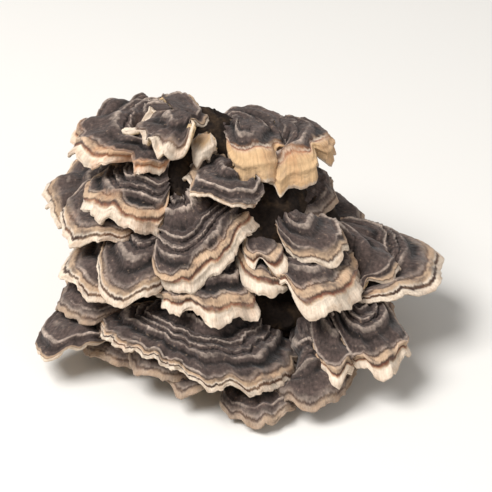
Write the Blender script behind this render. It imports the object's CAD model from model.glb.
"""Looks of a dried turkey tail cluster: thin felted brackets with growth zones and pale curled margins.

Every bracket is a fan of skin that is settled under the brackets above it, thickened, and given its growth
relief by Geometry Nodes. Lengths in the tables are in millimetres and angles in degrees.
"""

import functools
import math
import random

import bpy
import numpy as np
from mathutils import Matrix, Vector
from mathutils.bvhtree import BVHTree


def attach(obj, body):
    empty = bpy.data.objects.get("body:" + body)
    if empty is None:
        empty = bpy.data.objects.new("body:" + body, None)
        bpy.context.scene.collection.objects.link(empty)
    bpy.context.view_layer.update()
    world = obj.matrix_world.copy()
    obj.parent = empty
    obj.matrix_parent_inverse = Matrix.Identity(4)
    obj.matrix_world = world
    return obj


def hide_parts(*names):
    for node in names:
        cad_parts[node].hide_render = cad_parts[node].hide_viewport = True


bl_info = {
    "name": "Turkey Tail Cluster",
    "version": (1, 0, 0),
    "blender": (4, 5, 0),
    "location": "3D View > Sidebar > Turkey Tail",
    "description": "Grows a tiered cluster of zoned bracket fungi on its cut base",
    "category": "Object",
}

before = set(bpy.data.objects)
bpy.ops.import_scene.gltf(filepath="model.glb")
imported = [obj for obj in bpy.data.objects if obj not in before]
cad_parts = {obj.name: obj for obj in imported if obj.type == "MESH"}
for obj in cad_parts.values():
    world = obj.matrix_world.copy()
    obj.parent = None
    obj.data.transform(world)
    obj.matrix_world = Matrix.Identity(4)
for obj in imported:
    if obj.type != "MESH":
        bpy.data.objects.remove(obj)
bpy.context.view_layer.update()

MM = 0.001

# The shared base: a leaning mound, cut flat at Z = 0, that swells out to the roots of the front brackets.
BASE_HALF_WIDTH = 31.0
BASE_HALF_DEPTH = 22.5
BASE_HEIGHT = 56.5
BASE_CENTRE_Y = 3.0
BASE_LEAN_X = -14.0
BASE_LEAN_Y = 17.0
BASE_ROUNDING = 0.58
BASE_RIDGE = 0.85
BASE_LUMP = 0.8
LUMP_TWIST = 0.13
LUMP_RISE = 0.31
BASE_AROUND = 260
BASE_ROWS = 110
CUT_ROWS = 24
SWELL_DEPTH = 1.6
SWELL_TURN = 0.34
SWELL_HEIGHT = 6.5
SWELL_TOP = 50.0

# A bracket's outline: where its skin starts, as a share of its reach, how deep a back bracket's root lies in
# the base, and how its two corners are rounded off.
ROOT_START = 0.06
ROOT_DEPTH = 3.0
CORNER = 0.22
CORNER_POWER = 8
CORNER_FROM = 0.8
CORNER_LOSS = 0.42

# The margin's random course: its height as a share of ragged, its rate in radians a millimetre, and how much
# faster and fainter each octave is.
RAGGED_SHARE = 0.6
RAGGED_RATE = 0.5
OCTAVE_RATE = 1.9
OCTAVE_FADE = 0.6
OCTAVE_SUM = 1.8

# How fast waves and ruffles die away from the margin, and how the ruffles sway.
WAVE_POWER = 1.5
RUFFLE_POWER = 3
SWAY_RATE = 3.0
SWAY_TURN = 3.0
SWAY_GROWTH = 0.5

# A bracket's wall, which rounds off over the last share of the fan, up to a limit, and its grid, whose lines
# are closer together at the two sides and at the margin.
SIDE_ROUNDING = 0.03
SIDE_LIMIT = 0.97
SLOPE_STEPS = 20
LIP_ROWS = 6
UNDER_EVERY = 3
CROWD_SIDES = 0.86
CROWD_MARGIN = 0.85

# How a lower bracket settles under those above it: the grid it is tested on, the gap it keeps, how far above
# a bracket it still goes under it, the heights that the test's rays start from, and how often the press is
# smoothed.
SETTLE_GRID = (44, 22)
SETTLE_GAP = 0.55
SETTLE_REACH = 7.0
FAR_ABOVE = 200.0
FAR_BELOW = -50.0
SMOOTH_ROUNDS = 3
ROUND_BLUR = 2
MESH_BLUR = 3

# The margin's zones: the longest way in that is coloured, the narrowest band, and how the rim's distance
# blends from the margin into the two sides and fades at the root.
ZONE_LENGTH = 26.0
LEAST_BAND = 0.1
SIDE_FADE = 2.6
ROOT_FADE = 9.0
ROOT_FADE_POWER = 8
BARE_SLOPE = 1.5
RIM_BLEND = 0.9


def linear(code):
    """A colour's sRGB hex code as linear light."""
    parts = [int(code[place:place + 2], 16) / 255 for place in (1, 3, 5)]
    return tuple(part / 12.92 if part <= 0.04045 else ((part + 0.055) / 1.055) ** 2.4 for part in parts)


def bracket(name, at, heading, radii, pitch=(10, 26), spread=85, curl=24, curl_from=0.7, fall=10, roll=0,
            wave=(0.8, 2.0, 0.0), scallops=(4.0, 0.05, 0.3), finish="pale_edge", ruffle=(0.7, 5.0),
            ragged=1.0, band=1.0, stain=0.3, notches=(), bare_sides=()):
    """One bracket's driving sizes. heading is seen from above: 0 faces -Y and 90 faces +X.

    at is where its root starts. radii are the reach from there to its margin, evenly from its -X side to its
    +X side, spread either way of the heading. pitch is its slope below level at root and margin, and curl
    the further turn of its margin, from curl_from on. fall drops both sides and roll the +X side. wave is
    (height, count, phase), scallops are (count, depth, phase) and ruffle is (height, count) at the margin.
    ragged scales the margin's unevenness and the pleats, and band the width of its zones, in one number or
    evenly across the fan as the radii are. stain is how far rust spreads in them. notches are (place, half
    width, share of the reach) across the fan, or a tooth where the share is below 0, and bare_sides, -1 or
    1, are the sides that the pale margin doesn't turn up.
    """
    return dict(name=name, at=at, heading=heading, radii=radii, pitch=pitch, spread=spread, curl=curl,
                curl_from=curl_from, fall=fall, roll=roll, wave=wave, scallops=scallops, finish=finish,
                ruffle=ruffle, ragged=ragged, band=band if isinstance(band, tuple) else (band, band),
                stain=stain, notches=notches, bare_sides=bare_sides)


CROWN = [
    bracket("bracket_crown_curl", (-12.8, 11.4, 61.6), -62, (13, 18, 16, 15, 11), (6, 34), spread=65,
            curl=-15, scallops=(2, 0.16, 0), finish="rolled_edge", ruffle=(1.8, 5), ragged=1.7,
            band=(1.5, 1.5, 0.7, 1.6, 0.8),
            notches=((-0.2, 0.1, 0.2), (0.32, 0.08, 0.14))),
    bracket("bracket_crown_back", (-19, 20, 59.4), 115, (10, 12, 9.5, 9.5, 9.5), (4, 24),
            band=(0.3, 0.5, 0.8, 0.5, 0.2)),
    bracket("bracket_crown_left", (-17, 16.8, 59), -76, (12, 24, 30.5, 23, 15), (4, 22), curl=34, roll=6,
            finish="cream_edge", ruffle=(1.5, 8), ragged=1.7, band=(0.15, 0.35, 0.7, 0.7, 0.3), stain=1.0,
            notches=((0.42, 0.07, 0.2), (-0.1, 0.05, 0.1))),
    bracket("bracket_crown_rear", (-2.6, 18.8, 53), 138, (13, 17, 20, 17, 13), (4, 20), finish="grey_edge"),
    bracket("bracket_crown_bud", (-8.3, 9.7, 56.8), -25, (7, 9, 12, 9, 6), (6, 60), spread=76, curl=60,
            curl_from=0.5, finish="bud", ruffle=(1.0, 3), ragged=1.3),
    bracket("bracket_crown_right", (0.6, 19.2, 55), -4, (9, 9, 10, 23, 23, 19, 10), (-6, 20), curl=62,
            curl_from=0.5, finish="tan_flap", ruffle=(0.9, 4), ragged=1.4,
            band=(0.15, 0.2, 0.3, 0.75, 0.8, 0.5, 0.2), stain=0.6,
            notches=((0.25, 0.25, -0.07), (0.5, 0.09, 0.3)), bare_sides=(1,)),
    bracket("bracket_crown_far_right", (8.7, 19.4, 54.4), 30, (8, 21, 25, 20, 13), (-6, 20), curl=62,
            curl_from=0.5, finish="tan_flap", ruffle=(0.8, 3), ragged=1.3, band=(0.6, 0.85, 0.85, 0.65, 0.25),
            stain=0.6, notches=((0.12, 0.08, 0.32), (-0.9, 0.1, 0.3), (-0.33, 0.05, -0.2)), bare_sides=(-1,)),
]
UPPER = [
    bracket("bracket_upper_left", (-19, 12.2, 51.1), -42, (28, 28, 28, 27, 27), (10, 26), spread=46,
            curl=38, finish="cream_edge", ruffle=(0.7, 4), ragged=1.2, band=(0.9, 1.1, 1.4, 1.1, 1.4),
            stain=0.5, bare_sides=(1,)),
    bracket("bracket_upper_middle", (-1.4, 5.6, 51.7), -40, (10, 14, 16, 16, 14), (4, 16),
            band=(0.6, 1.7, 0.15, 0.1, 0.1), ragged=1.2),
    bracket("bracket_centre", (-16.2, 2.7, 45.1), 42, (33, 30, 25, 24, 29), (12, 26), spread=60, curl=36,
            fall=4, roll=-14, finish="cream_edge", ruffle=(0.6, 6), ragged=0.9,
            band=(0.6, 1.3, 1.3, 1.4, 1.6), bare_sides=(-1,)),
    bracket("bracket_leaf", (10.9, 1.5, 40.4), 40, (7, 14, 22, 17, 12), (10, 26), spread=75, ruffle=(0.9, 5),
            ragged=1.4, band=(0.9, 0.7, 1.1, 0.5, 0.4)),
    bracket("bracket_left_lobe", (-26.6, 11.6, 44.9), -40, (13, 24, 27, 22, 13), (12, 28), spread=66,
            finish="double_edge", ragged=1.2, band=(0.6, 0.8, 1.0, 0.9, 0.6), stain=0.6),
    bracket("bracket_left_ear", (-26.3, 15.7, 41.4), -80, (14, 25, 27, 24, 12), (6, 22), roll=8,
            ruffle=(1.3, 8), ragged=1.4, band=1.3),
]
MIDDLE = [
    bracket("bracket_fold_upper", (1.8, -4.6, 37.4), 40, (7, 12, 16, 12, 7), (14, 34), spread=70,
            finish="cream_edge", ruffle=(1.4, 4), ragged=1.2, band=0.8, notches=((-0.3, 0.14, 0.3),)),
    bracket("bracket_shell", (-22.8, -0.1, 39.8), -18, (12, 21, 28, 21, 12), (18, 32), spread=70,
            finish="double_edge", ruffle=(0.5, 4), ragged=0.8),
    bracket("bracket_fold", (2.4, -4.3, 35.9), 10, (6, 11, 20, 17, 9), (14, 34), spread=70, curl=34,
            finish="cream_edge", ruffle=(0.8, 3), ragged=1.2),
    bracket("bracket_right_shelf", (10, -3, 36.2), 28, (6, 13, 28, 26, 22), (14, 28), curl=30,
            finish="cream_edge", ruffle=(0.9, 6), ragged=1.4, band=(0.2, 0.5, 1.1, 1.2, 0.3),
            notches=((-0.28, 0.06, 0.1),)),
    bracket("bracket_right_twist", (18.6, 5, 34), 48, (14, 23, 27, 25, 16), (10, 24), spread=50,
            ruffle=(1.2, 4), ragged=1.3, band=0.7, notches=((-0.15, 0.12, 0.16),)),
    bracket("bracket_middle", (-10.9, -3, 35.7), -5, (17, 21, 22, 25.5, 29, 25, 13), (16, 30),
            scallops=(6, 0.09, 0), finish="cream_edge", ruffle=(0.8, 8), ragged=1.8,
            band=(0.4, 0.5, 0.5, 0.8, 1.1, 0.9, 0.6), bare_sides=(1,)),
    bracket("bracket_left_cup", (-25.7, 0.2, 33.4), -65, (12, 20, 23.5, 23, 14), (10, 24),
            finish="double_edge", band=(0.8, 1.3, 1.1, 0.8, 0.6)),
    bracket("bracket_right_round", (23.2, 8, 30.4), 62, (18, 27, 32, 31, 20), (8, 20), curl=14, spread=75,
            roll=9, finish="double_edge", ruffle=(0.9, 4), ragged=0.7, band=(0.6, 0.9, 1.3, 1.4, 1.4)),
    bracket("bracket_right_split", (23.3, -2.6, 27), 26, (12, 29, 36, 32, 20), (14, 32), spread=36,
            finish="cream_edge", ruffle=(1.0, 5), ragged=1.2, band=(0.15, 0.3, 0.8, 0.5, 0.2)),
    bracket("bracket_right_split_inner", (21.6, -4.2, 25), 4, (11, 27, 34, 27, 11), (14, 32), spread=26,
            finish="cream_edge", ruffle=(0.8, 3), ragged=1.2, band=(0.2, 0.3, 0.65, 0.4, 0.2)),
]
LOWER = [
    bracket("bracket_front", (-11.2, -13.4, 22.8), 12, (34, 24.5, 21, 27, 33, 33, 36), (12, 28), spread=108,
            fall=3, roll=9, scallops=(7, 0.04, 0.2), finish="double_edge", ruffle=(0.8, 13), ragged=1.4,
            band=(0.7, 0.8, 0.75, 0.8, 1.35, 0.8, 0.35)),
    bracket("bracket_left_low", (-30.5, -2.2, 24.6), -58, (9, 17, 21, 18, 10), (12, 28), spread=72,
            finish="grey_edge"),
    bracket("bracket_left_bud", (-26.1, -2.4, 22), -25, (8, 16, 21, 16, 8), (14, 28), spread=60,
            finish="grey_edge"),
    bracket("bracket_left_leaf", (-30.3, -2.1, 19.4), -42, (11, 28, 29, 20, 9), (8, 24), spread=45,
            band=0.3),
    bracket("bracket_front_fan", (13.8, -13.5, 18.4), 8, (14, 23, 28, 26, 18), (14, 32), spread=50,
            finish="grey_edge", band=1.2),
    bracket("bracket_front_left", (-13.5, -13.1, 15.4), -32, (11, 18, 20, 17, 10), (8, 22),
            finish="grey_edge"),
    bracket("bracket_front_bud", (-9.1, -17, 12.7), -15, (9, 15, 18, 15, 9), (6, 20), finish="grey_edge"),
    bracket("bracket_front_low", (3.3, -18.1, 7.6), 5, (12, 20, 23, 20, 12), (-2, 14), spread=55,
            finish="grey_edge"),
    bracket("bracket_right_low", (20, -1, 14), 66, (14, 20, 23, 20, 13), (4, 18), finish="grey_edge"),
    bracket("bracket_right_foot", (16, -10, 8.6), 34, (12, 17, 20, 16, 12), (0, 16), finish="grey_edge"),
    bracket("bracket_left_foot", (-24, -4, 9.4), -52, (12, 17, 20, 17, 12), (0, 16), finish="grey_edge"),
    bracket("bracket_left_side", (-27, 3, 21), -88, (12, 18, 20, 18, 12), (4, 20), finish="grey_edge"),
    bracket("bracket_right_side", (8, 14, 41.5), 84, (14, 18, 18, 17, 13), (4, 22), finish="grey_edge"),
]

# The side away from the front, in tiers: (height, how many, reach, heading of the first edge, of the last),
# and the seed of the brackets' differences.
BACK_TIERS = ((50, 3, 17, 104, 252), (40, 4, 20, 108, 250), (28, 5, 21, 102, 256), (17.5, 6, 21, 84, 276),
              (10, 5, 19, 90, 270))
BACK_SEED = 7

# The felt's own colours: (share of the way from furrow to crest, colour, cover).
FELT_STOPS = ((0.0, "groove", 1.0), (0.35, "dark_felt", 1.0), (0.62, "dark_felt", 1.0),
              (1.0, "pale_felt", 1.0))
# The growth zones over it: (millimetres in from the margin, colour, how strongly it covers the felt).
FINISHES = {
    "cream_edge": ((0.0, "cream", 1.0), (2.2, "cream", 1.0), (2.6, "tan", 1.0), (3.0, "red_line", 1.0),
                   (3.4, "umber", 1.0), (3.8, "tan", 1.0), (5.0, "tan", 0.95), (5.4, "umber", 0.7),
                   (5.8, "pale_felt", 0.8), (6.6, "pale_felt", 0.0)),
    "double_edge": ((0.0, "cream", 1.0), (0.8, "cream", 1.0), (1.1, "umber", 1.0), (1.5, "umber", 0.9),
                    (1.8, "cream", 0.9), (2.3, "tan", 0.9), (3.0, "tan", 0.8), (3.4, "umber", 0.7),
                    (4.0, "pale_felt", 0.5), (5.0, "pale_felt", 0.0)),
    "pale_edge": ((0.0, "cream", 1.0), (0.7, "cream", 1.0), (1.1, "umber", 0.9), (1.5, "tan", 0.9),
                  (2.3, "tan", 0.6), (3.2, "pale_felt", 0.0)),
    "rolled_edge": ((0.0, "cream", 1.0), (1.7, "cream", 1.0), (2.1, "umber", 0.9), (2.6, "pale_felt", 0.5),
                    (3.4, "pale_felt", 0.0)),
    "grey_edge": ((0.0, "dull_tan", 1.0), (0.7, "dull_tan", 1.0), (1.2, "umber", 0.6),
                  (1.7, "pale_felt", 0.7), (2.8, "pale_felt", 0.0)),
    "tan_flap": ((0.0, "cream", 1.0), (0.6, "golden", 1.0), (6.4, "golden", 1.0), (7.2, "tan", 1.0),
                 (7.7, "red_line", 1.0), (8.3, "cream", 0.8), (8.7, "umber", 0.9), (9.6, "umber", 0.0)),
    "bud": ((0.0, "cream", 1.0), (4.0, "cream", 1.0), (6.0, "golden", 1.0), (9.0, "tan", 1.0),
            (11.0, "tan", 0.4)),
}
# Where the felt steps down to the newest growth, in millimetres in from the margin, and the finish's slot.
LEDGES = {"cream_edge": 3.2, "double_edge": 1.3, "pale_edge": 1.0, "rolled_edge": 2.0, "grey_edge": 0.9,
          "tan_flap": 8.4, "bud": 20.0}

# Noise patterns on the skin: (millimetres across, millimetres outwards, detail). The felt's hairs are 0.01 to
# 0.1 mm wide, finer than a pixel of the picture, so fibre, fibril and the fuzz below stand for tufts of them
# and are drawn 0.5 to 0.9 mm wide.
RELIEF_PATTERNS = {"stray": (14, 17, 1), "jitter": (2.6, 9, 2), "width": (9, 60, 2), "strength": (15, 5, 1),
                   "wrinkle": (3.4, 34, 2), "pucker": (1.7, 8, 3), "fibril": (0.75, 7, 3)}
SKIN_PATTERNS = {"fibre": (0.5, 4.5, 4), "patch": (6, 5, 3), "wear": (5, 3, 3)}
SKIN_ROUGHNESS = 0.62
PATTERN_GAP = 5.3
SEED_STEP = 3.7

# Patterns in space, in millimetres: the felt's tufts, fuzz and soft clouds, and the base's lumps, layers and
# grain.
TUFT = 1.2
FUZZ = 0.9
CLOUD = 7.0
LUMP = 6.0
LAYER = 4.2
GRAIN = 0.8

# The relief. A map is (from low, from high, to low, to high), and one that is named for the rim, the margin
# or the root starts from the distance to it in millimetres.
STRAY_BY_RIM = (0.5, 7.0, 0.3, 1.6)
JITTER = 0.55
RINGS_ROUND_SIDES = 0.35
WIDTH_CHANGE = 1.2
ZONE_STRAY = 0.45
UNEVEN_RATE = 1.9
UNEVEN_SHIFT = 0.36
RING_LEAN = 0.7
FINE_RINGS = 2.7
FINE_HEIGHT = 0.36
STRENGTH = 1.1
STRENGTH_CHANGE = 2.4
CALM_AT_RIM = (2.0, 5.5, 0.3, 1.0)
CALM_AT_ROOT = (1.5, 5.0, 0.0, 1.0)
LEDGE_STEP = (-0.25, 0.25, -1.0, 0.0)
FRILL_BY_RIM = (0.0, 5.0, 2.4, 0.0)
PLEAT_BY_MARGIN = (0.0, 14.0, 1.7, 0.5)
FRILL_RISE = 0.6
# The height above the cut, in millimetres, over which the base's lumps and layers grow to their full height.
CUT_CLEAR = 4.0

# The colours. Most of a noise pattern lies in NOISE_RANGE, and a pair is what that range becomes, in TONES
# after the pattern's name. CREST_RANGE is what goes from furrow to crest. Four numbers are a map as above.
NOISE_RANGE = (0.3, 0.7)
CREST_SHIFT = (-0.5, 0.5)
CREST_RANGE = (-1.2, 1.3)
EDGE_SHIFT = (-0.25, 0.25)
KEPT = (0.34, 0.5, 0.3, 1.0)
STAINED = (0.45, 0.65, 0.0, 0.8)
WORN = (0.5, 0.7, 0.0, 0.6)
DUSTED = (0.65, 0.76, 0.0, 0.35)
PITTED = (0.35, 0.6, 0.5, 1.1)
RING_TONE = (0.66, 1.42)
FUZZ_TONE = (0.6, 1.4)
TONES = (("fibre", 0.76, 1.2), ("cloud", 0.85, 1.15), ("wear", 1.08, 0.88))
BARK_WORN = (0.5, 0.75, 0.0, 0.5)
BARK_TONE = (0.6, 1.4)
FLESH_TONE = (0.8, 1.1)
# How far round the lip the pores start, how many millimetres along a ring change its tone as much as the step
# to the next ring does, and how fast its tone changes.
PORES_FROM = 0.6
RING_TONE_LENGTH = 40.0
RING_TONE_RATE = 1.3

# The studio, in metres, degrees and watts, with the camera's lens in millimetres. A softbox is (name, power,
# size, place). The camera looks down at the photo's angle.
FLOOR_HALF = 3.0
FLOOR_PAPER = "#dedbd6"
ROOM_WALLS = "#f2f1ef"
ROOM_LIGHT = 0.42
SOFTBOXES = (("key_softbox", 8.5, 0.4, (-0.35, -0.2, 0.7)), ("side_softbox", 1.8, 0.6, (0.7, -0.35, 0.35)))
LIT_POINT = (0.0, 0.0, 0.03)
CAMERA_LENS = 120.0
CAMERA_RISE = 35.0
CAMERA_DISTANCE = 0.42
CAMERA_TARGET = (0.001, 0.002, 0.027)


def length(name, default, description):
    """A length setting, in metres."""
    return bpy.props.FloatProperty(name=name, description=description, default=default * MM, min=0.0,
                                   precision=5, unit="LENGTH")


def colour(name, code, description):
    """A colour setting from its sRGB hex code."""
    return bpy.props.FloatVectorProperty(name=name, description=description, default=linear(code), min=0.0,
                                         max=1.0, size=3, subtype="COLOR")


class GrowthSizes(bpy.types.PropertyGroup):
    """Sizes that every bracket shares, and the base's."""
    step: length("Grid step", 0.42, "Length of a face across a front bracket")
    hidden_step: length("Hidden grid step", 0.9, "Length of a face across a side or back bracket")
    root_thickness: length("Root thickness", 2.4, "Thickness where a bracket grows out")
    margin_thickness: length("Margin thickness", 1.3, "Thickness at the margin")
    ring_height: length("Ring height", 1.15, "Height of the growth rings")
    ring_spacing: length("Ring spacing", 3.7, "Distance from one growth ring to the next")
    ring_wander: length("Ring wander", 3.2, "How far a growth ring strays from its even course")
    ledge_height: length("Ledge height", 0.45, "Step down from the felt to the newest growth at the margin")
    pleat_height: length("Pleat height", 0.7, "Height of the folds that run out to the margin")
    fibril_height: length("Fibril height", 0.2, "Height of the radial fibres in the felt")
    felt_height: length("Felt height", 0.14, "Height of the felt's tufts")
    crimp_height: length("Crimp height", 0.8, "Height of the margin's fine folds")
    lump_height: length("Lump height", 2.2, "Height of the base's lumps")
    layer_height: length("Layer height", 1.3, "Height of the base's layers")


class GrowthColours(bpy.types.PropertyGroup):
    """Colours of the growth zones."""
    groove: colour("Groove", "#1e1613", "Furrows between the growth rings")
    dark_felt: colour("Dark felt", "#493c37", "Older zones of the upper skin")
    pale_felt: colour("Pale felt", "#a59487", "Crests of the growth rings")
    tan: colour("Tan", "#c1a487", "Band inside the margin")
    dull_tan: colour("Dull tan", "#a28e7c", "Margins of the older brackets")
    golden: colour("Golden tan", "#c6a47c", "Turned-down flaps at the crown")
    red_line: colour("Red line", "#86513a", "Thin line inside the margin")
    rust: colour("Rust", "#b07a52", "Stains in the margin")
    umber: colour("Umber", "#3f2a20", "Dark line inside the margin")
    cream: colour("Cream", "#dccbb7", "Growing margin")
    pores: colour("Pores", "#c2a57c", "Underside")
    bark: colour("Bark", "#1f1712", "Sides of the base")
    old_flesh: colour("Old flesh", "#54422f", "Worn ridges on the sides of the base")
    flesh: colour("Flesh", "#b3936a", "Cut face of the base")


# ---------------------------------------------------------------- shapes

def smooth_step(x):
    """Rises smoothly from 0 to 1 as x does."""
    x = np.clip(x, 0.0, 1.0)
    return x * x * (3.0 - 2.0 * x)


def wander(x, seed, lowest, octaves=4):
    """A smooth random course along x, between about -1 and 1. lowest is its slowest wave's rate."""
    draw = random.Random(seed)
    total = np.zeros_like(x)
    for octave in range(octaves):
        rate = lowest * OCTAVE_RATE ** octave * draw.uniform(0.85, 1.15)
        total = total + np.sin(rate * x + draw.uniform(0, 2 * math.pi)) * OCTAVE_FADE ** octave
    return total / OCTAVE_SUM


def base_section(z):
    """Middle and half sizes of the base's level section: (x, y, half width, half depth)."""
    share = z / BASE_HEIGHT
    size = np.maximum(1.0 - share ** 2, 0.0) ** BASE_ROUNDING
    x, y = BASE_LEAN_X * share, BASE_CENTRE_Y + BASE_LEAN_Y * share
    return x, y, BASE_HALF_WIDTH * size ** BASE_RIDGE, BASE_HALF_DEPTH * size


def section_reach(turn, z):
    """From the middle of the level section to its edge, turn being anticlockwise from +X."""
    half_width, half_depth = base_section(z)[2:]
    return 1.0 / np.hypot(np.cos(turn) / half_width, np.sin(turn) / half_depth)


def base_point(heading, z, depth):
    """A point that deep under the base's side, where it faces that way."""
    x, y = base_section(z)[:2]
    turn = math.radians(heading - 90)
    reach = section_reach(turn, z) - depth
    return (x + reach * math.cos(turn), y + reach * math.sin(turn), z)


def back_brackets():
    """The brackets round the back, each a little different."""
    draw = random.Random(BACK_SEED)
    rows = []
    for tier, (height, count, reach, start, end) in enumerate(BACK_TIERS, 1):
        for place in range(count):
            share = (place + 0.5) / count + draw.uniform(-0.05, 0.05)
            heading = start + (end - start) * share
            z = height + draw.uniform(-1.5, 1.5)
            long = reach * draw.uniform(0.88, 1.12)
            side = long * draw.uniform(0.55, 0.7)
            radii = (side, long * draw.uniform(0.8, 0.95), long, long * draw.uniform(0.8, 0.95), side)
            pitch = (draw.uniform(2, 8), draw.uniform(16, 24))
            wave = (draw.uniform(0.5, 1.0), draw.uniform(1.6, 2.6), draw.uniform(0, 1))
            scallops = (draw.uniform(3, 6), 0.06, draw.uniform(0, 1))
            at = base_point(heading, z, ROOT_DEPTH)
            finish = draw.choice(("pale_edge", "grey_edge"))
            rows.append(bracket(f"bracket_back_{tier}_{place + 1}", at, heading, radii, pitch, spread=84,
                                curl=draw.uniform(16, 34), wave=wave, scallops=scallops, finish=finish))
    return rows


BACK = back_brackets()


def across_fan(values, u):
    """A smooth curve through values that stand evenly across the fan."""
    values = np.array(values, float)
    knots = np.concatenate([[2 * values[0] - values[1]], values, [2 * values[-1] - values[-2]]])
    place = (u + 1.0) / 2.0 * (len(values) - 1)
    first = np.clip(np.floor(place).astype(int), 0, len(values) - 2)
    t = place - first
    a, b, c, d = (knots[first + step] for step in range(4))
    return b + 0.5 * t * (c - a + t * (2 * a - 5 * b + 4 * c - d + t * (3 * (b - c) + d - a)))


def rim_shape(shape, u):
    """Share of the reach that scallops, ragged growth and the rounded corners leave of the margin."""
    count, depth, phase = shape["scallops"]
    share = 1.0 - depth * (1.0 - np.abs(np.sin(0.5 * math.pi * count * (u + phase))))
    for place, width, loss in shape["notches"]:
        share = share * (1.0 - loss * np.exp(-((u - place) / width) ** 2))
    arc = u * math.radians(shape["spread"]) * middle_reach(shape)
    course = RAGGED_SHARE * wander(arc, shape["name"], RAGGED_RATE)
    share = share + shape["ragged"] / middle_reach(shape) * course
    corner = np.clip((np.abs(u) - CORNER_FROM) / (1.0 - CORNER_FROM), 0.0, 1.0)
    rounded = 1.0 - CORNER_LOSS * (1.0 - np.sqrt(1.0 - corner ** 2))
    return share * (1.0 - CORNER * np.abs(u) ** CORNER_POWER) * rounded


def middle_reach(shape):
    """A bracket's middling reach."""
    return sum(shape["radii"]) / len(shape["radii"])


def upper_skin(shape, u, v):
    """Points of a bracket's upper skin, u being -1 to 1 across the fan and v 0 to 1 from root to margin."""
    turn = u * math.pi / 2
    radius = across_fan(shape["radii"], u)
    root_pitch, margin_pitch = shape["pitch"]
    run = np.zeros(np.broadcast(u, v).shape)
    drop = np.zeros_like(run)
    for step in range(SLOPE_STEPS):
        s = (step + 0.5) / SLOPE_STEPS * v
        slope = root_pitch + (margin_pitch - root_pitch) * s
        slope = slope + shape["curl"] * smooth_step((s - shape["curl_from"]) / (1.0 - shape["curl_from"]))
        sides = shape["fall"] * np.sin(turn) ** 2 + shape["roll"] * np.sin(turn)
        slope = slope + sides * smooth_step(2 * s)
        run += np.cos(np.radians(slope)) * v / SLOPE_STEPS
        drop += np.sin(np.radians(slope)) * v / SLOPE_STEPS
    share = 1.0 + (rim_shape(shape, u) - 1.0) * v ** 2
    height, waves, phase = shape["wave"]
    lift = height * v ** WAVE_POWER * np.sin(math.pi * waves * (u + phase))
    fold, folds = shape["ruffle"]
    sway = wander(u, shape["name"] + " sway", SWAY_RATE, 2)
    ruffle = np.sin(math.pi * folds * u + SWAY_TURN * sway) * (1.0 + SWAY_GROWTH * sway)
    lift = lift + fold * v ** RUFFLE_POWER * ruffle
    angle = np.radians(u * shape["spread"])
    forward = run * radius * share * np.cos(angle)
    sideways = run * radius * share * np.sin(angle)
    heading = math.radians(shape["heading"])
    x = shape["at"][0] + forward * math.sin(heading) + sideways * math.cos(heading)
    y = shape["at"][1] - forward * math.cos(heading) + sideways * math.sin(heading)
    z = shape["at"][2] - drop * radius * share + lift
    return np.stack([x, y, z], axis=-1)


def skin_normals(points):
    """Unit normals of a skin, from its grid of points."""
    across, outward = np.gradient(points, axis=0), np.gradient(points, axis=1)
    normal = np.cross(outward, across)
    return normal / np.linalg.norm(normal, axis=-1, keepdims=True)


def wall(u, v, sizes):
    """A bracket's thickness in millimetres, thinner towards the margin and rounded off at its two sides."""
    root, margin = sizes.root_thickness / MM, sizes.margin_thickness / MM
    side = np.clip((np.abs(u) - 1.0 + SIDE_ROUNDING) / SIDE_ROUNDING, 0.0, SIDE_LIMIT)
    return (root + (margin - root) * v) * np.sqrt(1.0 - side ** 2)


def blurred(grid, times):
    """The grid, each value shared with its neighbours that many times."""
    for _ in range(times):
        for axis in (0, 1):
            padded = np.pad(grid, [(1, 1) if place == axis else (0, 0) for place in (0, 1)], mode="edge")
            low, mid, high = (np.take(padded, range(start, start + grid.shape[axis]), axis=axis)
                              for start in range(3))
            grid = (low + 2 * mid + high) / 4
    return grid


def need_below(point, above):
    """How far a point of a lower bracket has to go down to lie under the brackets above it."""
    x, y, z = point
    need = 0.0
    for tree, low, high in above:
        if not (low[0] < x < high[0] and low[1] < y < high[1]):
            continue
        top = tree.ray_cast((x, y, FAR_ABOVE), (0, 0, -1))[0]
        if top is None or z > top.z + SETTLE_REACH:
            continue
        under = tree.ray_cast((x, y, FAR_BELOW), (0, 0, 1))[0]
        if under is not None and z - need > under.z - SETTLE_GAP:
            need = z - under.z + SETTLE_GAP
    return need


@functools.cache
def settled():
    """How far those above it press each bracket down, as a grid over its skin, highest roots first."""
    sizes = bpy.context.scene.turkey_tail_sizes
    u = np.linspace(-1, 1, SETTLE_GRID[0])[:, None]
    v = np.linspace(ROOT_START, 1, SETTLE_GRID[1])[None, :]
    above, presses = [], {}
    for shape in sorted(CROWN + UPPER + MIDDLE + LOWER + BACK, key=lambda shape: -shape["at"][2]):
        skin = upper_skin(shape, u, v)
        need = np.array([need_below(point, above) for point in skin.reshape(-1, 3)]).reshape(SETTLE_GRID)
        press = need
        for _ in range(SMOOTH_ROUNDS):
            press = np.maximum(blurred(press, ROUND_BLUR), need)
        press = blurred(press, 1)
        presses[shape["name"]] = press
        skin[..., 2] -= press
        below = skin - skin_normals(skin) * wall(u, v, sizes)[..., None]
        count = SETTLE_GRID[0] * SETTLE_GRID[1]
        faces = [[a, a + 1, a + 1 + SETTLE_GRID[1], a + SETTLE_GRID[1]]
                 for a in range(count - SETTLE_GRID[1]) if (a + 1) % SETTLE_GRID[1]]
        faces += [[corner + count for corner in face] for face in faces]
        points = np.concatenate([skin.reshape(-1, 3), below.reshape(-1, 3)])
        above.append((BVHTree.FromPolygons(points.tolist(), faces), points.min(0), points.max(0)))
    return presses


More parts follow.
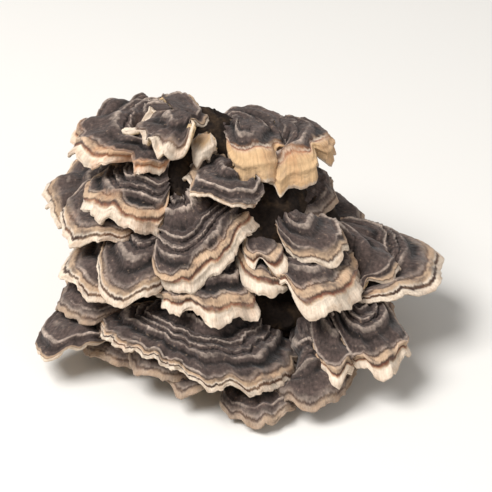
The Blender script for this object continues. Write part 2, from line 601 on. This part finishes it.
def resampled(grid, u, v):
    """The grid's values at other places across and outwards."""
    rows = np.linspace(-1, 1, grid.shape[0])
    columns = np.linspace(ROOT_START, 1, grid.shape[1])
    outward = np.array([np.interp(v, columns, row) for row in grid])
    return np.array([np.interp(u, rows, column) for column in outward.T]).T


# ---------------------------------------------------------------- meshes

def fill_mesh(name, points, faces, flat, attributes):
    """A smooth mesh from arrays of points, faces, places on the UV map and attributes, in millimetres."""
    mesh = bpy.data.meshes.new(name)
    mesh.vertices.add(len(points))
    mesh.vertices.foreach_set("co", (points * MM).astype(np.float32).ravel())
    corners = np.concatenate([np.ravel(face) for face in faces])
    sizes = np.concatenate([np.full(len(face), face.shape[1]) if face.ndim == 2 else [len(face)]
                            for face in faces])
    mesh.loops.add(len(corners))
    mesh.loops.foreach_set("vertex_index", corners.astype(np.int32))
    mesh.polygons.add(len(sizes))
    mesh.polygons.foreach_set("loop_start", np.concatenate([[0], np.cumsum(sizes)[:-1]]).astype(np.int32))
    mesh.polygons.foreach_set("use_smooth", np.ones(len(sizes), bool))
    mesh.update(calc_edges=True)
    for key, values in attributes.items():
        kind = "FLOAT_VECTOR" if values.ndim == 2 else "FLOAT"
        layer = mesh.attributes.new(key, kind, "POINT")
        layer.data.foreach_set("vector" if values.ndim == 2 else "value", values.astype(np.float32).ravel())
    along = mesh.uv_layers.new(name="UVMap")
    along.data.foreach_set("uv", (flat[corners] / ZONE_LENGTH).astype(np.float32).ravel())
    return mesh


def band(rows, columns, closed):
    """Quads between neighbouring columns of a grid whose points are numbered column by column."""
    last = rows if closed else rows - 1
    low = (np.arange(columns - 1)[:, None] * rows + np.arange(last)[None, :]).ravel()
    up = low - low % rows + (low % rows + 1) % rows
    return np.stack([low, up, up + rows, low + rows], axis=-1)


def bracket_mesh(shape, step, sizes):
    """A bracket as a closed mesh: upper skin, rounded lip and underside round each line across the fan."""
    reach = middle_reach(shape)
    across = int(math.radians(2 * shape["spread"]) * reach / step) + 1
    outward = int(reach / step) + 1
    crowd = math.pi / 2 * CROWD_SIDES
    u = np.sin(np.linspace(-1, 1, across) * crowd) / math.sin(crowd)
    v = ROOT_START + (1.0 - ROOT_START) * np.linspace(0, 1, outward) ** CROWD_MARGIN
    skin = upper_skin(shape, u[:, None], v[None, :])
    press = resampled(settled()[shape["name"]], u, v)
    skin[..., 2] -= blurred(press, MESH_BLUR)
    normal = skin_normals(skin)
    thick = wall(u[:, None], v[None, :], sizes)[..., None]
    out = np.gradient(skin, axis=1)
    out = out / np.linalg.norm(out, axis=-1, keepdims=True)
    middle = skin[:, -1] - normal[:, -1] * thick[:, -1] / 2
    lip = [middle + thick[:, -1] / 2 * (normal[:, -1] * math.cos(turn) + out[:, -1] * math.sin(turn))
           for turn in np.linspace(0, math.pi, LIP_ROWS + 2)[1:-1]]
    under = list(range(outward - 1, 0, -UNDER_EVERY)) + [0]
    rows = [skin[:, place] for place in range(outward)] + lip
    rows += [skin[:, place] - normal[:, place] * thick[:, place] for place in under]
    places = list(range(outward)) + [outward - 1] * LIP_ROWS + under
    count = len(rows)
    points = np.stack(rows, axis=1).reshape(-1, 3)
    arc = u * math.radians(shape["spread"]) * reach
    inward = np.tile((1.0 - v[places]) * reach, (across, 1))
    aside = (np.abs(arc[0]) - np.abs(arc))[:, None] * v[places] * (3.0 - 2.0 * v[places])
    aside = aside + SIDE_FADE * (1.0 - v[places]) ** 2 + ROOT_FADE * (1.0 - v[places]) ** ROOT_FADE_POWER
    for side in shape["bare_sides"]:
        aside = aside + reach * smooth_step(BARE_SLOPE * side * u)[:, None]
    rim = -RIM_BLEND * np.log(np.exp(-inward / RIM_BLEND) + np.exp(-aside / RIM_BLEND))
    under_share = np.zeros(count)
    under_share[outward:outward + LIP_ROWS] = np.linspace(0, 1, LIP_ROWS)
    under_share[outward + LIP_ROWS:] = 1.0
    faces = [band(count, across, True), np.arange(count)[::-1], np.arange(count) + (across - 1) * count]
    attributes = {
        "rim": np.maximum(rim, 0.0).ravel(),
        "inward": inward.ravel(),
        "grown": np.tile(v[places] * reach, across),
        "arc": np.repeat(arc, count),
        "band": np.repeat(np.maximum(across_fan(shape["band"], u), LEAST_BAND), count),
        "under": np.tile(under_share, across),
        "stain": np.full(across * count, shape["stain"]),
        "out": out[:, places].reshape(-1, 3),
    }
    flat = np.stack([attributes["arc"], attributes["inward"]], axis=-1)
    return fill_mesh(shape["name"], points, faces, flat, attributes)


def swells():
    """Where the base swells out to meet a front bracket's root: (turn, height, how far)."""
    found = []
    for shape in (shape for shape in CROWN + UPPER + MIDDLE + LOWER if shape["at"][2] < SWELL_TOP):
        z = shape["at"][2]
        x, y = base_section(z)[:2]
        away_x, away_y = shape["at"][0] - x, shape["at"][1] - y
        turn = math.atan2(away_y, away_x)
        found.append((turn, z, math.hypot(away_x, away_y) + SWELL_DEPTH - section_reach(turn, z)))
    return found


def base_mesh():
    """The base as a closed mesh: the flat cut from its middle to its rim, then the side up to the top."""
    turn = np.linspace(0, 2 * math.pi, BASE_AROUND, endpoint=False)[:, None]
    height = BASE_HEIGHT * np.sin(np.linspace(0, math.pi / 2, BASE_ROWS))[None, :-1]
    reach = section_reach(turn, height)
    most = np.zeros_like(reach)
    for place, root, amount in swells():
        apart = ((turn - place + math.pi) % (2 * math.pi) - math.pi) / SWELL_TURN
        most = np.maximum(most, amount * np.exp(-apart ** 2 - ((height - root) / SWELL_HEIGHT) ** 2))
    lumps = np.sin(3 * turn + LUMP_TWIST * height) * np.sin(2 * turn + LUMP_RISE * height)
    reach = reach + most + BASE_LUMP * lumps
    x, y = base_section(height)[:2]
    level = np.broadcast_to(height, reach.shape)
    side = np.stack([x + reach * np.cos(turn), y + reach * np.sin(turn), level], axis=-1)
    middle = np.array([x[0, 0], y[0, 0], 0.0])
    cut = middle + (side[:, :1] - middle) * np.linspace(0, 1, CUT_ROWS + 1)[None, 1:-1, None]
    rows = np.concatenate([cut, side], axis=1)
    count = rows.shape[1]
    top = np.array([BASE_LEAN_X, BASE_CENTRE_Y + BASE_LEAN_Y, BASE_HEIGHT])
    points = np.concatenate([rows.reshape(-1, 3), [middle, top]])
    first = np.arange(BASE_AROUND) * count
    after = np.roll(first, -1)
    grid = (first[:, None] + np.arange(count - 1)).ravel(), (after[:, None] + np.arange(count - 1)).ravel()
    faces = [np.stack([grid[0], grid[1], grid[1] + 1, grid[0] + 1], axis=-1),
             np.stack([after, first, np.full_like(first, len(points) - 2)], axis=-1),
             np.stack([first + count - 1, after + count - 1, np.full_like(first, len(points) - 1)], axis=-1)]
    flesh = np.zeros(count)
    flesh[:CUT_ROWS] = 1.0
    flat = np.stack([points[:, 0] + points[:, 1], points[:, 2] + points[:, 1]], axis=-1)
    cut_share = np.append(np.tile(flesh, BASE_AROUND), [1.0, 0.0])
    return fill_mesh("cut_base", points, faces, flat, {"cut": cut_share})


# ---------------------------------------------------------------- nodes

def add_node(tree, kind, inputs=(), **settings):
    """Adds a node with its settings and its inputs, by place or by name.

    An input's value is a constant, a socket, or a node whose first output it is.
    """
    made = tree.nodes.new(kind)
    for key, value in settings.items():
        setattr(made, key, value)
    for key, value in inputs.items() if isinstance(inputs, dict) else enumerate(inputs):
        if isinstance(value, bpy.types.Node):
            value = value.outputs[0]
        if isinstance(value, bpy.types.NodeSocket):
            tree.links.new(value, made.inputs[key])
        else:
            made.inputs[key].default_value = value
    return made


def grow(item, tree, values):
    """Gives an object a Geometry Nodes tree's result as its plain mesh."""
    modifier = item.modifiers.new(tree.name, "NODES")
    modifier.node_group = tree
    for socket in tree.interface.items_tree:
        if socket.in_out == "INPUT" and socket.name in values:
            modifier[socket.identifier] = values[socket.name]
    graph = bpy.context.evaluated_depsgraph_get()
    mesh = bpy.data.meshes.new_from_object(item.evaluated_get(graph), preserve_all_data_layers=True,
                                           depsgraph=graph)
    old = item.data
    item.modifiers.remove(modifier)
    item.data = mesh
    bpy.data.meshes.remove(old)
    mesh.name = item.name


def new_relief(name, sizes):
    """An empty Geometry Nodes tree that takes a geometry, these sizes and a material."""
    tree = bpy.data.node_groups.new(name, "GeometryNodeTree")
    tree.interface.new_socket("Geometry", in_out="OUTPUT", socket_type="NodeSocketGeometry")
    tree.interface.new_socket("Geometry", in_out="INPUT", socket_type="NodeSocketGeometry")
    for size in sizes:
        tree.interface.new_socket(size, in_out="INPUT", socket_type="NodeSocketFloat")
    tree.interface.new_socket("Material", in_out="INPUT", socket_type="NodeSocketMaterial")
    return tree, functools.partial(add_node, tree), tree.nodes.new("NodeGroupInput").outputs


def finish_relief(add, given, stored, offset):
    """Ends the tree: stores the named values, moves the points, and gives the result its material."""
    grown = given["Geometry"]
    for name, value in stored.items():
        grown = add("GeometryNodeStoreNamedAttribute", {"Geometry": grown, "Name": name, "Value": value},
                    data_type="FLOAT")
    grown = add("GeometryNodeSetPosition", {"Geometry": grown, "Offset": offset})
    grown = add("GeometryNodeRealizeInstances", {"Geometry": grown})
    grown = add("GeometryNodeSetMaterial", {"Geometry": grown, "Material": given["Material"]})
    add("NodeGroupOutput", {"Geometry": grown})


def skin_clouds(add, flat, patterns, roughness=0.5):
    """Noise over the skin for each pattern, stretched to its size across and outwards."""
    clouds = {}
    for number, (name, (across, outwards, detail)) in enumerate(patterns.items()):
        stretch = (1 / across, 1 / outwards, 1.0)
        apart = (0.0, 0.0, PATTERN_GAP * number)
        place = add("ShaderNodeVectorMath", (flat, stretch, apart), operation="MULTIPLY_ADD")
        clouds[name] = add("ShaderNodeTexNoise", {"Vector": place, "Scale": 1.0, "Detail": detail,
                                                  "Roughness": roughness})
    return clouds


@functools.cache
def growth_relief():
    """Raises growth rings, pleats, fibres, felt and the margin's ledge, and stores each point's zone."""
    tree, add, given = new_relief("growth_relief", (
        "Ring Height", "Ring Spacing", "Ring Wander", "Ledge Height", "Ledge Place", "Pleat Height",
        "Fibril Height", "Felt Height", "Crimp Height", "Seed"))
    rim, inward, arc, under, span, band_width = (
        add("GeometryNodeInputNamedAttribute", {"Name": name}, data_type="FLOAT")
        for name in ("rim", "inward", "arc", "under", "grown", "band"))
    out = add("GeometryNodeInputNamedAttribute", {"Name": "out"}, data_type="FLOAT_VECTOR")
    position = add("GeometryNodeInputPosition")
    flat = add("ShaderNodeCombineXYZ", (arc, inward, given["Seed"]))
    clouds = {name: add("ShaderNodeMath", (cloud, 0.5), operation="SUBTRACT")
              for name, cloud in skin_clouds(add, flat, RELIEF_PATTERNS).items()}

    # Where each point stands among the rings and in the margin's zones, both in millimetres inwards.
    wander_mm = add("ShaderNodeMath", (given["Ring Wander"], MM), operation="DIVIDE")
    free = add("ShaderNodeMapRange", (rim, *STRAY_BY_RIM), interpolation_type="SMOOTHSTEP")
    stray = add("ShaderNodeMath", (clouds["stray"], free), operation="MULTIPLY")
    stray = add("ShaderNodeMath", (clouds["jitter"], JITTER, stray), operation="MULTIPLY_ADD")
    stray = add("ShaderNodeMath", (stray, wander_mm), operation="MULTIPLY")
    bend = add("ShaderNodeMix", {"Factor": RINGS_ROUND_SIDES, 2: inward, 3: rim})
    ring_zone = add("ShaderNodeMath", (bend, stray), operation="ADD")
    width = add("ShaderNodeMath", (clouds["width"], WIDTH_CHANGE, 1.0), operation="MULTIPLY_ADD")
    width = add("ShaderNodeMath", (width, band_width), operation="MULTIPLY")
    zone = add("ShaderNodeMath", (stray, ZONE_STRAY, rim), operation="MULTIPLY_ADD")
    zone = add("ShaderNodeMath", (zone, width), operation="DIVIDE")

    # Rings: a slow sine makes their spacing uneven, and a second set of finer rings rides on them.
    spacing_mm = add("ShaderNodeMath", (given["Ring Spacing"], MM), operation="DIVIDE")
    course = add("ShaderNodeMath", (ring_zone, spacing_mm), operation="DIVIDE")
    uneven = add("ShaderNodeMath", (course, UNEVEN_RATE), operation="MULTIPLY")
    uneven = add("ShaderNodeMath", (uneven,), operation="SINE")
    course = add("ShaderNodeMath", (uneven, UNEVEN_SHIFT, course), operation="MULTIPLY_ADD")
    turns = add("ShaderNodeMath", (course, 2 * math.pi), operation="MULTIPLY")
    lean = add("ShaderNodeMath", (turns,), operation="SINE")
    lean = add("ShaderNodeMath", (lean, RING_LEAN, turns), operation="MULTIPLY_ADD")
    ring = add("ShaderNodeMath", (lean,), operation="SINE")
    fine = add("ShaderNodeMath", (turns, FINE_RINGS, clouds["wrinkle"]), operation="MULTIPLY_ADD")
    fine = add("ShaderNodeMath", (fine,), operation="SINE")
    ring = add("ShaderNodeMath", (fine, FINE_HEIGHT, ring), operation="MULTIPLY_ADD")
    strength = add("ShaderNodeMath", (clouds["strength"], STRENGTH_CHANGE, STRENGTH),
                   operation="MULTIPLY_ADD")
    inside = add("ShaderNodeMapRange", (zone, *CALM_AT_RIM), interpolation_type="SMOOTHSTEP")
    from_root = add("ShaderNodeMapRange", (span, *CALM_AT_ROOT), interpolation_type="SMOOTHSTEP")
    for share in (inside, from_root):
        strength = add("ShaderNodeMath", (strength, share), operation="MULTIPLY")
    ring = add("ShaderNodeMath", (ring, strength), operation="MULTIPLY")

    # Heights along the skin's normal. The rings, the ledge and the fibrils are on the upper side only.
    ledge = add("ShaderNodeMath", (zone, given["Ledge Place"]), operation="SUBTRACT")
    ledge = add("ShaderNodeMapRange", (ledge, *LEDGE_STEP), interpolation_type="SMOOTHSTEP")
    lift = add("ShaderNodeMath", (ledge, given["Ledge Height"]), operation="MULTIPLY")
    lift = add("ShaderNodeMath", (clouds["fibril"], given["Fibril Height"], lift), operation="MULTIPLY_ADD")
    half_ring = add("ShaderNodeMath", (given["Ring Height"], 0.5), operation="MULTIPLY")
    lift = add("ShaderNodeMath", (ring, half_ring, lift), operation="MULTIPLY_ADD")
    top = add("ShaderNodeMath", (1.0, under), operation="SUBTRACT")
    lift = add("ShaderNodeMath", (lift, top), operation="MULTIPLY")
    tufts = add("ShaderNodeTexNoise", {"Vector": position, "Scale": 1 / (TUFT * MM), "Detail": 3.0})
    tufts = add("ShaderNodeMath", (tufts, 0.5), operation="SUBTRACT")
    lift = add("ShaderNodeMath", (tufts, given["Felt Height"], lift), operation="MULTIPLY_ADD")

    # The margin's teeth move it out and in, and its puckers and the pleats move it up and down.
    near_rim = add("ShaderNodeMapRange", (rim, *FRILL_BY_RIM), interpolation_type="SMOOTHSTEP")
    frill = add("ShaderNodeMath", (clouds["pucker"], near_rim), operation="MULTIPLY")
    frill = add("ShaderNodeMath", (frill, given["Crimp Height"]), operation="MULTIPLY")
    pleat = add("ShaderNodeMapRange", (inward, *PLEAT_BY_MARGIN), interpolation_type="SMOOTHSTEP")
    for share in (from_root, clouds["wrinkle"], given["Pleat Height"]):
        pleat = add("ShaderNodeMath", (pleat, share), operation="MULTIPLY")
    waves = add("ShaderNodeMath", (frill, FRILL_RISE, pleat), operation="MULTIPLY_ADD")
    offset = add("ShaderNodeCombineXYZ", (0.0, 0.0, waves))
    for direction, amount in ((add("GeometryNodeInputNormal"), lift), (out, frill)):
        move = add("ShaderNodeVectorMath", {0: direction, "Scale": amount}, operation="SCALE")
        offset = add("ShaderNodeVectorMath", (offset, move), operation="ADD")
    finish_relief(add, given, {"zone": zone, "ridge": ring, "course": course}, offset)
    return tree


@functools.cache
def base_tissue():
    """Gives the base's side the lumps and layers of fused bracket roots, and leaves its cut flat."""
    tree, add, given = new_relief("base_tissue", ("Lump Height", "Layer Height"))
    cut = add("GeometryNodeInputNamedAttribute", {"Name": "cut"}, data_type="FLOAT")
    position = add("GeometryNodeInputPosition")
    lumps = add("ShaderNodeTexNoise", {"Vector": position, "Scale": 1 / (LUMP * MM), "Detail": 4.0})
    # A Wave texture's bands are a turn of 2 pi apart along 20 times its scale.
    layers = add("ShaderNodeTexWave", {
        "Vector": position, "Scale": math.pi / (10 * LAYER * MM), "Distortion": 9.0, "Detail": 3.0,
        "Detail Scale": 2.0}, bands_direction="Z", wave_profile="SAW").outputs["Fac"]
    lift = add("ShaderNodeMath", (lumps, 0.5), operation="SUBTRACT")
    lift = add("ShaderNodeMath", (lift, given["Lump Height"]), operation="MULTIPLY")
    lift = add("ShaderNodeMath", (layers, given["Layer Height"], lift), operation="MULTIPLY_ADD")
    side = add("ShaderNodeMath", (1.0, cut), operation="SUBTRACT")
    height = add("ShaderNodeSeparateXYZ", (position,)).outputs["Z"]
    above_cut = add("ShaderNodeMapRange", {"Value": height, "From Max": CUT_CLEAR * MM})
    side = add("ShaderNodeMath", (side, above_cut), operation="MULTIPLY")
    lift = add("ShaderNodeMath", (lift, side), operation="MULTIPLY")
    rise = add("ShaderNodeVectorMath", {0: add("GeometryNodeInputNormal"), "Scale": lift}, operation="SCALE")
    finish_relief(add, given, {}, rise)
    return tree


def new_material(name):
    """An empty node material, and what adds to it."""
    material = bpy.data.materials.new(name)
    material.use_nodes = True
    material.node_tree.nodes.clear()
    return material, functools.partial(add_node, material.node_tree)


@functools.cache
def felt_material(finish):
    """Turkey tail's upper skin: dead felted hyphae in dark and pale rings, a growing margin, and pores below.

    The felt grew in zones, so it is streaked outwards and banded across. It scatters light like cloth: rough,
    with a faint sheen and no gloss.
    """
    colours = bpy.context.scene.turkey_tail_colours
    material, add = new_material(f"turkey_tail_felt_{finish}")
    zone, inward, arc, under, ridge, course, rusty = (
        add("ShaderNodeAttribute", attribute_name=name).outputs["Fac"]
        for name in ("zone", "inward", "arc", "under", "ridge", "course", "stain"))
    place = add("ShaderNodeTexCoord").outputs["Object"]
    flat = add("ShaderNodeCombineXYZ", (arc, inward))
    clouds = skin_clouds(add, flat, SKIN_PATTERNS, SKIN_ROUGHNESS)
    for name, grain, detail in (("cloud", CLOUD, 4.0), ("fuzz", FUZZ, 3.0)):
        clouds[name] = add("ShaderNodeTexNoise", {
            "Vector": place, "Scale": 1 / (grain * MM), "Detail": detail})
    along = add("ShaderNodeMath", (arc, RING_TONE_LENGTH), operation="DIVIDE")
    along_ring = add("ShaderNodeCombineXYZ", (along, course))
    tone = add("ShaderNodeTexNoise", {
        "Vector": along_ring, "Scale": RING_TONE_RATE, "Detail": 2.0, "Roughness": 0.7})

    # The felt by its relief: dark in the furrows, pale on the crests.
    shifted = add("ShaderNodeMapRange", (clouds["patch"], *NOISE_RANGE, *CREST_SHIFT))
    shifted = add("ShaderNodeMath", (ridge, shifted), operation="ADD")
    crest = add("ShaderNodeMapRange", (shifted, *CREST_RANGE, 0.0, 1.0))
    felt = add("ShaderNodeValToRGB", (crest,))
    edge_place = add("ShaderNodeMapRange", (clouds["fibre"], *NOISE_RANGE, *EDGE_SHIFT))
    edge_place = add("ShaderNodeMath", (zone, edge_place), operation="ADD")
    edge_place = add("ShaderNodeMath", (edge_place, ZONE_LENGTH), operation="DIVIDE")
    edge = add("ShaderNodeValToRGB", (edge_place,))
    for stops, made in ((FELT_STOPS, felt), (FINISHES[finish], edge)):
        reach = ZONE_LENGTH if made is edge else 1.0
        while len(made.color_ramp.elements) < len(stops):
            made.color_ramp.elements.new(1.0)
        for element, (position, name, cover) in zip(made.color_ramp.elements, stops):
            element.position = position / reach
            element.color = (*getattr(colours, name), cover)

    # The pale margin is worn in places, and stained in others.
    kept = add("ShaderNodeMapRange", (clouds["wear"], *KEPT))
    outermost = add("ShaderNodeMapRange", (zone, LEDGES[finish] - 1.0, LEDGES[finish], 1.0, 0.0))
    kept = add("ShaderNodeMath", (kept, outermost), operation="MAXIMUM")
    kept = add("ShaderNodeMath", (kept, edge.outputs["Alpha"]), operation="MULTIPLY")
    stain = add("ShaderNodeMapRange", (clouds["patch"], *STAINED))
    stain = add("ShaderNodeMath", (stain, rusty), operation="MULTIPLY")
    worn = add("ShaderNodeMapRange", (clouds["wear"], *WORN))
    weathered = add("ShaderNodeMix", {"Factor": worn, 6: edge, 7: (*colours.tan, 1.0)}, data_type="RGBA")
    stained = add("ShaderNodeMix", {"Factor": stain, 6: weathered.outputs[2], 7: (*colours.rust, 1.0)},
                  data_type="RGBA")
    skin = add("ShaderNodeMix", {"Factor": kept, 6: felt, 7: stained.outputs[2]}, data_type="RGBA")

    # Its tone changes from ring to ring, in soft patches, and from fibre to fibre.
    shade = add("ShaderNodeMapRange", (tone, *NOISE_RANGE, *RING_TONE))
    mottle = add("ShaderNodeMapRange", (clouds["fuzz"], *NOISE_RANGE, *FUZZ_TONE))
    shade = add("ShaderNodeMath", (shade, mottle), operation="MULTIPLY")
    shade = add("ShaderNodeMix", {"Factor": kept, 2: shade, 3: 1.0})
    for name, least, most in TONES:
        change = add("ShaderNodeMapRange", (clouds[name], *NOISE_RANGE, least, most))
        shade = add("ShaderNodeMath", (shade, change), operation="MULTIPLY")
    skin = add("ShaderNodeVectorMath", {0: skin.outputs[2], "Scale": shade}, operation="SCALE")
    dust = add("ShaderNodeMapRange", (clouds["fuzz"], *DUSTED))
    skin = add("ShaderNodeMix", {"Factor": dust, 6: skin, 7: (*colours.tan, 1.0)}, data_type="RGBA")
    pitted = add("ShaderNodeMapRange", (clouds["fuzz"], *PITTED))
    pores = add("ShaderNodeVectorMath", {0: colours.pores, "Scale": pitted}, operation="SCALE")
    below = add("ShaderNodeMapRange", (under, PORES_FROM, 1.0, 0.0, 1.0))
    base = add("ShaderNodeMix", {"Factor": below, 6: skin.outputs[2], 7: pores}, data_type="RGBA")
    grain = add("ShaderNodeMath", (clouds["fibre"], clouds["fuzz"]), operation="ADD")
    bump = add("ShaderNodeBump", {"Height": grain, "Strength": 0.9, "Distance": 0.35 * MM})
    shader = add("ShaderNodeBsdfPrincipled", {
        "Base Color": base.outputs[2], "Roughness": 0.9, "Sheen Weight": 0.1, "Sheen Roughness": 0.6,
        "Specular IOR Level": 0.25, "Normal": bump})
    add("ShaderNodeOutputMaterial", {"Surface": shader})
    return material


@functools.cache
def base_material():
    """Fused bracket roots and old bark, near black in the gaps, and pale, fibrous flesh on the sawn cut."""
    colours = bpy.context.scene.turkey_tail_colours
    material, add = new_material("fungus_base_and_cut_flesh")
    cut = add("ShaderNodeAttribute", attribute_name="cut").outputs["Fac"]
    place = add("ShaderNodeTexCoord").outputs["Object"]
    lumps = add("ShaderNodeTexNoise", {"Vector": place, "Scale": 1 / (LAYER * MM), "Detail": 5.0})
    grain = add("ShaderNodeTexNoise", {"Vector": place, "Scale": 1 / (GRAIN * MM), "Detail": 3.0})
    worn = add("ShaderNodeMapRange", (lumps, *BARK_WORN))
    bark = add("ShaderNodeMix", {"Factor": worn, 6: (*colours.bark, 1.0), 7: (*colours.old_flesh, 1.0)},
               data_type="RGBA")
    shade = add("ShaderNodeMapRange", (grain, *NOISE_RANGE, *BARK_TONE))
    bark = add("ShaderNodeVectorMath", {0: bark.outputs[2], "Scale": shade}, operation="SCALE")
    pale = add("ShaderNodeMapRange", (grain, *NOISE_RANGE, *FLESH_TONE))
    flesh = add("ShaderNodeVectorMath", {0: colours.flesh, "Scale": pale}, operation="SCALE")
    base = add("ShaderNodeMix", {"Factor": cut, 6: bark, 7: flesh}, data_type="RGBA")
    bump = add("ShaderNodeBump", {"Height": grain, "Strength": 0.6, "Distance": 0.3 * MM})
    shader = add("ShaderNodeBsdfPrincipled", {
        "Base Color": base.outputs[2], "Roughness": 0.95, "Specular IOR Level": 0.2, "Normal": bump})
    add("ShaderNodeOutputMaterial", {"Surface": shader})
    return material


# ---------------------------------------------------------------- pieces

def grow_brackets(context, shapes, step):
    """Makes the piece that stands for each of these brackets."""
    sizes = context.scene.turkey_tail_sizes
    for number, shape in enumerate(shapes):
        name = shape["name"].replace("bracket", "felted")
        item = bpy.data.objects.new(name, bracket_mesh(shape, step / MM, sizes))
        context.scene.collection.objects.link(item)
        grow(item, growth_relief(), {
            "Ring Height": sizes.ring_height, "Ring Spacing": sizes.ring_spacing,
            "Ring Wander": sizes.ring_wander, "Ledge Height": sizes.ledge_height,
            "Ledge Place": LEDGES[shape["finish"]], "Pleat Height": sizes.pleat_height * shape["ragged"],
            "Fibril Height": sizes.fibril_height, "Felt Height": sizes.felt_height,
            "Crimp Height": sizes.crimp_height * shape["ragged"], "Seed": SEED_STEP * number + len(shapes),
            "Material": felt_material(shape["finish"])})
        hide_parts(shape["name"])
        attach(item, "root")


class FUNGUS_OT_crown(bpy.types.Operator):
    """Grow the brackets at the crown"""
    bl_idname = "fungus.crown"
    bl_label = "Grow Crown"

    def execute(self, context):
        grow_brackets(context, CROWN, context.scene.turkey_tail_sizes.step)
        return {"FINISHED"}


class FUNGUS_OT_upper_tier(bpy.types.Operator):
    """Grow the large brackets under the crown"""
    bl_idname = "fungus.upper_tier"
    bl_label = "Grow Upper Tier"

    def execute(self, context):
        grow_brackets(context, UPPER, context.scene.turkey_tail_sizes.step)
        return {"FINISHED"}


class FUNGUS_OT_middle_tier(bpy.types.Operator):
    """Grow the brackets of the middle tier"""
    bl_idname = "fungus.middle_tier"
    bl_label = "Grow Middle Tier"

    def execute(self, context):
        grow_brackets(context, MIDDLE, context.scene.turkey_tail_sizes.step)
        return {"FINISHED"}


class FUNGUS_OT_lower_tier(bpy.types.Operator):
    """Grow the front and lower brackets"""
    bl_idname = "fungus.lower_tier"
    bl_label = "Grow Lower Tier"

    def execute(self, context):
        grow_brackets(context, LOWER, context.scene.turkey_tail_sizes.step)
        return {"FINISHED"}


class FUNGUS_OT_back_tiers(bpy.types.Operator):
    """Grow the brackets round the back"""
    bl_idname = "fungus.back_tiers"
    bl_label = "Grow Back Tiers"

    def execute(self, context):
        grow_brackets(context, BACK, context.scene.turkey_tail_sizes.hidden_step)
        return {"FINISHED"}


class FUNGUS_OT_cut_base(bpy.types.Operator):
    """Make the shared base with its flat cut"""
    bl_idname = "fungus.cut_base"
    bl_label = "Make Cut Base"

    def execute(self, context):
        sizes = context.scene.turkey_tail_sizes
        item = bpy.data.objects.new("fused_base", base_mesh())
        context.scene.collection.objects.link(item)
        grow(item, base_tissue(), {"Lump Height": sizes.lump_height, "Layer Height": sizes.layer_height,
                                   "Material": base_material()})
        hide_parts("cut_base")
        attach(item, "root")
        return {"FINISHED"}


class FUNGUS_OT_stage(bpy.types.Operator):
    """Set up the floor, the lights and the camera"""
    bl_idname = "fungus.stage"
    bl_label = "Set Stage"

    def execute(self, context):
        scene = context.scene
        mesh = bpy.data.meshes.new("floor")
        corners = [(x * FLOOR_HALF, y * FLOOR_HALF, 0.0) for x, y in ((-1, -1), (1, -1), (1, 1), (-1, 1))]
        mesh.from_pydata(corners, [], [(0, 1, 2, 3)])
        floor = bpy.data.objects.new("floor", mesh)
        scene.collection.objects.link(floor)
        paper = bpy.data.materials.new("pale_backdrop_paper")
        paper.use_nodes = True
        shader = paper.node_tree.nodes["Principled BSDF"]
        shader.inputs["Base Color"].default_value = (*linear(FLOOR_PAPER), 1.0)
        shader.inputs["Roughness"].default_value = 0.9
        floor.data.materials.append(paper)
        for name, power, size, place in SOFTBOXES:
            lamp = bpy.data.lights.new(name, "AREA")
            lamp.energy = power
            lamp.size = size
            light = bpy.data.objects.new(name, lamp)
            light.location = place
            light.rotation_euler = (Vector(LIT_POINT) - Vector(place)).to_track_quat("-Z", "Y").to_euler()
            scene.collection.objects.link(light)
        world = bpy.data.worlds.new("soft_room")
        world.use_nodes = True
        walls = world.node_tree.nodes["Background"]
        walls.inputs["Color"].default_value = (*linear(ROOM_WALLS), 1.0)
        walls.inputs["Strength"].default_value = ROOM_LIGHT
        scene.world = world
        scene.view_settings.view_transform = "Standard"
        lens = bpy.data.cameras.new("camera")
        lens.lens = CAMERA_LENS
        camera = bpy.data.objects.new("camera", lens)
        rise = math.radians(CAMERA_RISE)
        back = Vector((0.0, -math.cos(rise), math.sin(rise)))
        camera.location = Vector(CAMERA_TARGET) + back * CAMERA_DISTANCE
        camera.rotation_euler = (-back).to_track_quat("-Z", "Y").to_euler()
        scene.collection.objects.link(camera)
        scene.camera = camera
        return {"FINISHED"}


class FUNGUS_PT_panel(bpy.types.Panel):
    """Sizes, colours and steps of the cluster"""
    bl_idname = "FUNGUS_PT_panel"
    bl_label = "Turkey Tail Cluster"
    bl_space_type = "VIEW_3D"
    bl_region_type = "UI"
    bl_category = "Turkey Tail"

    def draw(self, context):
        layout = self.layout
        for group in (context.scene.turkey_tail_sizes, context.scene.turkey_tail_colours):
            box = layout.box()
            for key in group.__annotations__:
                box.prop(group, key)
        for operator in OPERATORS:
            layout.operator(operator.bl_idname)


OPERATORS = (FUNGUS_OT_cut_base, FUNGUS_OT_crown, FUNGUS_OT_upper_tier, FUNGUS_OT_middle_tier,
             FUNGUS_OT_lower_tier, FUNGUS_OT_back_tiers, FUNGUS_OT_stage)
CLASSES = (GrowthSizes, GrowthColours, *OPERATORS, FUNGUS_PT_panel)


def register():
    """Registers the classes and gives the scene its settings."""
    for item in CLASSES:
        bpy.utils.register_class(item)
    bpy.types.Scene.turkey_tail_sizes = bpy.props.PointerProperty(type=GrowthSizes)
    bpy.types.Scene.turkey_tail_colours = bpy.props.PointerProperty(type=GrowthColours)


def unregister():
    """Takes the settings and the classes away again."""
    del bpy.types.Scene.turkey_tail_sizes
    del bpy.types.Scene.turkey_tail_colours
    for item in reversed(CLASSES):
        bpy.utils.unregister_class(item)


def main():
    register()
    bpy.ops.fungus.cut_base()
    bpy.ops.fungus.crown()
    bpy.ops.fungus.upper_tier()
    bpy.ops.fungus.middle_tier()
    bpy.ops.fungus.lower_tier()
    bpy.ops.fungus.back_tiers()
    bpy.ops.fungus.stage()


if __name__ == "__main__":
    main()
